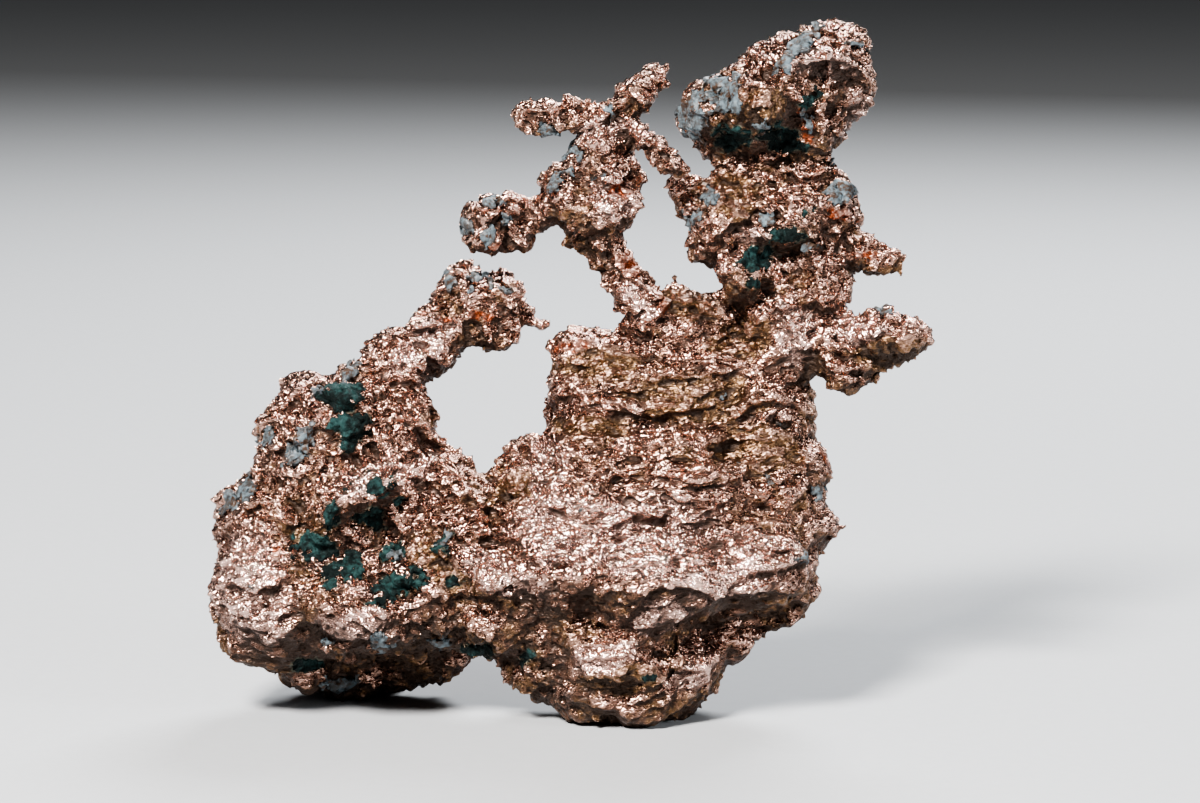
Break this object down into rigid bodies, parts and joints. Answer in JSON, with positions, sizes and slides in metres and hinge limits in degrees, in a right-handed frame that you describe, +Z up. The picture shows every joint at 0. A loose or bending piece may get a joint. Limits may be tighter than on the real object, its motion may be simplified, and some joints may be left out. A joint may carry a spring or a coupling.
{
  "type": "native copper nugget",
  "caption": "Branching, hackly lump of native copper with a heavy lobed base, thin twigs and green mineral crust, standing on its own feet.",
  "frame": {"origin": "bottom centre of the bounding box, on the surface that the feet rest on", "axes": "+Z up, -Y out of the front face, +X towards the crown and the right prong"},
  "size_m": [0.0722, 0.028, 0.0696],
  "materials": {
    "copper": "bright hackly native copper with brown tarnish in its hollows",
    "green_crust": "dull dark green to teal copper mineral crust",
    "pale_crust": "pale blue-grey grains and veins of calcite or quartz"
  },
  "bodies": {
    "root": {"base": "copper", "left_arm": "copper", "middle_branch": "copper", "ball_twig": "copper", "top_twigs": "copper", "right_branch": "copper", "crown": "copper", "right_prong": "copper"}
  },
  "joints": []
}
